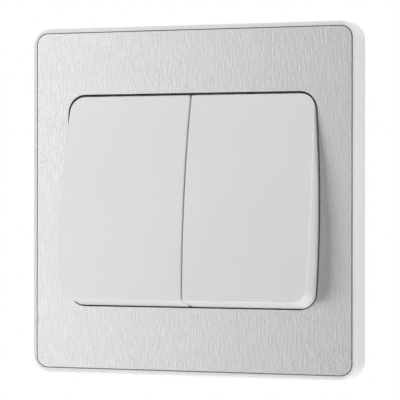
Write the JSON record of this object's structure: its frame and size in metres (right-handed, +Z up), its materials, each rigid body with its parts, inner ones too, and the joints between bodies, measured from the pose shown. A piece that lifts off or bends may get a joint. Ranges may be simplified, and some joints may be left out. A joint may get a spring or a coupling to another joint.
{
  "type": "two-gang rocker switch",
  "caption": "Square wall plate with a brushed steel face in a white frame and wide arched rockers side by side, clipped over a base with screw terminals at the back.",
  "frame": {"origin": "centre of the plate on the wall plane, midway between the fixing screws", "axes": "+X to the right of someone facing the plate, +Y into the wall, +Z up; the rockers face -Y"},
  "size_m": [0.0952, 0.0354, 0.0952],
  "materials": {
    "white_moulding": "satin gloss moulding",
    "brushed_steel": "fine vertical brushing",
    "support_moulding": "matt moulding",
    "base_moulding": "matt moulding",
    "dolly_moulding": "matt moulding",
    "plunger_nylon": "natural nylon",
    "zinc_plated_steel": "zinc plated",
    "spring_steel": "drawn wire",
    "contact_copper": "rolled copper alloy",
    "contact_silver": "silver alloy",
    "brass": "extruded brass",
    "plated_brass": "plated brass"
  },
  "bodies": {
    "plate": {"front_frame": "white_moulding", "steel_fascia": "brushed_steel", "support_frame": "support_moulding", "switch_base": "base_moulding", "base_screws": "zinc_plated_steel", "fixing_screws": "zinc_plated_steel", "left_common_terminal": "brass", "left_upper_terminal": "brass", "left_lower_terminal": "brass", "left_terminal_screws": "plated_brass", "left_fixed_contacts": "contact_silver", "right_common_terminal": "brass", "right_upper_terminal": "brass", "right_lower_terminal": "brass", "right_terminal_screws": "plated_brass", "right_fixed_contacts": "contact_silver"},
    "left_rocker": {"left_rocker_cap": "white_moulding", "left_dolly": "dolly_moulding", "left_plunger_spring": "spring_steel"},
    "left_plunger_pin": {"left_plunger": "plunger_nylon"},
    "left_contact": {"left_contact_arm": "contact_copper", "left_moving_contacts": "contact_silver"},
    "right_rocker": {"right_rocker_cap": "white_moulding", "right_dolly": "dolly_moulding", "right_plunger_spring": "spring_steel"},
    "right_plunger_pin": {"right_plunger": "plunger_nylon"},
    "right_contact": {"right_contact_arm": "contact_copper", "right_moving_contacts": "contact_silver"}
  },
  "joints": [
    {"name": "left_rocker_tilt", "type": "hinge", "parent": "plate", "child": "left_rocker", "pos_m": [-0.0126, -0.0038, 0], "axis": [1, 0, 0], "range_deg": [0, 13.52]},
    {"name": "left_contact_rock", "type": "hinge", "parent": "plate", "child": "left_contact", "pos_m": [-0.0126, 0.009, 0], "axis": [1, 0, 0], "range_deg": [-19.01, 0]},
    {"name": "left_plunger_slide", "type": "slide", "parent": "left_rocker", "child": "left_plunger_pin", "axis": [0, -0.993, 0.1177], "range_m": [0, 0.0008], "stiffness_N_per_m": 900, "springref_m": -0.003, "deforming": ["left_plunger_spring"]},
    {"name": "right_rocker_tilt", "type": "hinge", "parent": "plate", "child": "right_rocker", "pos_m": [0.0126, -0.0038, 0], "axis": [1, 0, 0], "range_deg": [0, 13.52]},
    {"name": "right_contact_rock", "type": "hinge", "parent": "plate", "child": "right_contact", "pos_m": [0.0126, 0.009, 0], "axis": [1, 0, 0], "range_deg": [-19.01, 0]},
    {"name": "right_plunger_slide", "type": "slide", "parent": "right_rocker", "child": "right_plunger_pin", "axis": [0, -0.993, 0.1177], "range_m": [0, 0.0008], "stiffness_N_per_m": 900, "springref_m": -0.003, "deforming": ["right_plunger_spring"]}
  ],
  "couplings": [
    {"joint": "left_contact_rock", "follows": "left_rocker_tilt", "ratio": -1.4053},
    {"joint": "right_contact_rock", "follows": "right_rocker_tilt", "ratio": -1.4053}
  ]
}
